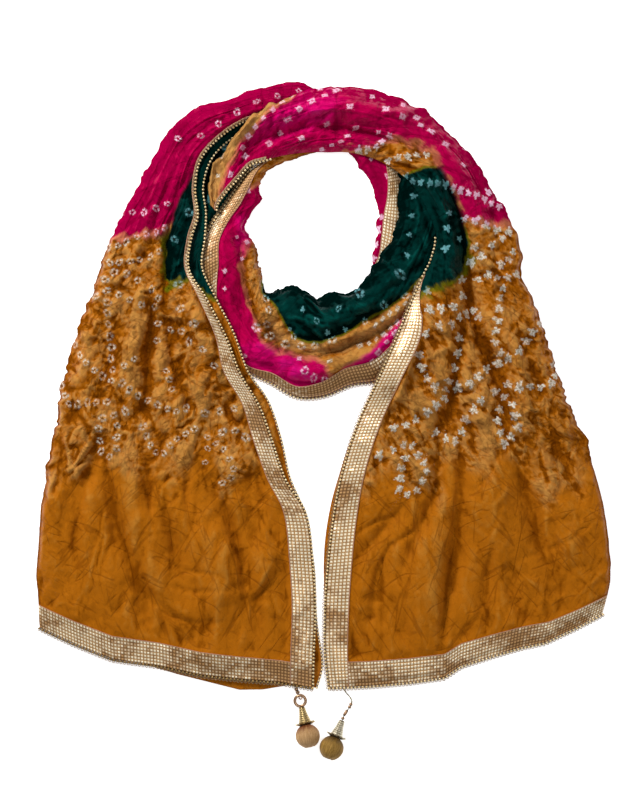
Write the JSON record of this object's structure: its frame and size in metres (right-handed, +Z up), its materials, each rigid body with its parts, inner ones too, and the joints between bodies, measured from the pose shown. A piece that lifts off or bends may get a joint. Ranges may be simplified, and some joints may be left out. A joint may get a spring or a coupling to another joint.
{
  "type": "dupatta stole",
  "caption": "Bandhani silk dupatta stole with gota borders and corner drops, wound once as round a neck and laid flat.",
  "frame": {"origin": "middle of the object's box in X and Y, on the surface it lies on", "axes": "+Z up from the table, +Y from the hems to the top of the winding, +X to the wearer's left end (right in the picture)"},
  "size_m": [0.7479, 0.8804, 0.0435],
  "materials": {
    "mustard_silk": "crushed art silk, mustard dye ground, tie-dyed dots",
    "pink_silk": "crushed art silk, rani pink dye ground, tie-dyed dots",
    "green_silk": "crushed art silk, bottle green dye ground, tie-dyed dots",
    "gota": "woven metallic gota ribbon with a beaded picot edge",
    "cap_brass": "spun brass cap, worn gold plating",
    "bead_brass": "small rose-gold plated beads and ring",
    "ball_thread": "silk thread wound over a ball",
    "string": "twisted metallic thread"
  },
  "bodies": {
    "root": {"back_arc": "pink_silk", "left_inner_fold": "green_silk", "loop_right": "green_silk", "loop_front": "green_silk", "loop_left": "pink_silk", "left_tail_back": "mustard_silk", "right_tail_back": "mustard_silk", "left_tail": "mustard_silk", "right_tail": "mustard_silk", "gota_back_arc": "gota", "gota_loop_front": "gota", "gota_loop_left": "gota", "gota_left_hem": "gota", "gota_left_edge": "gota", "gota_right_hem": "gota", "gota_right_edge": "gota", "latkan_left_string": "string", "latkan_left_bead_1": "bead_brass", "latkan_left_bead_2": "bead_brass", "latkan_left_ring": "bead_brass", "latkan_left_cap": "cap_brass", "latkan_left_ball": "ball_thread", "latkan_right_string": "string", "latkan_right_bead_1": "bead_brass", "latkan_right_bead_2": "bead_brass", "latkan_right_bead_3": "bead_brass", "latkan_right_bead_4": "bead_brass", "latkan_right_cap": "cap_brass", "latkan_right_ball": "ball_thread"}
  },
  "joints": []
}
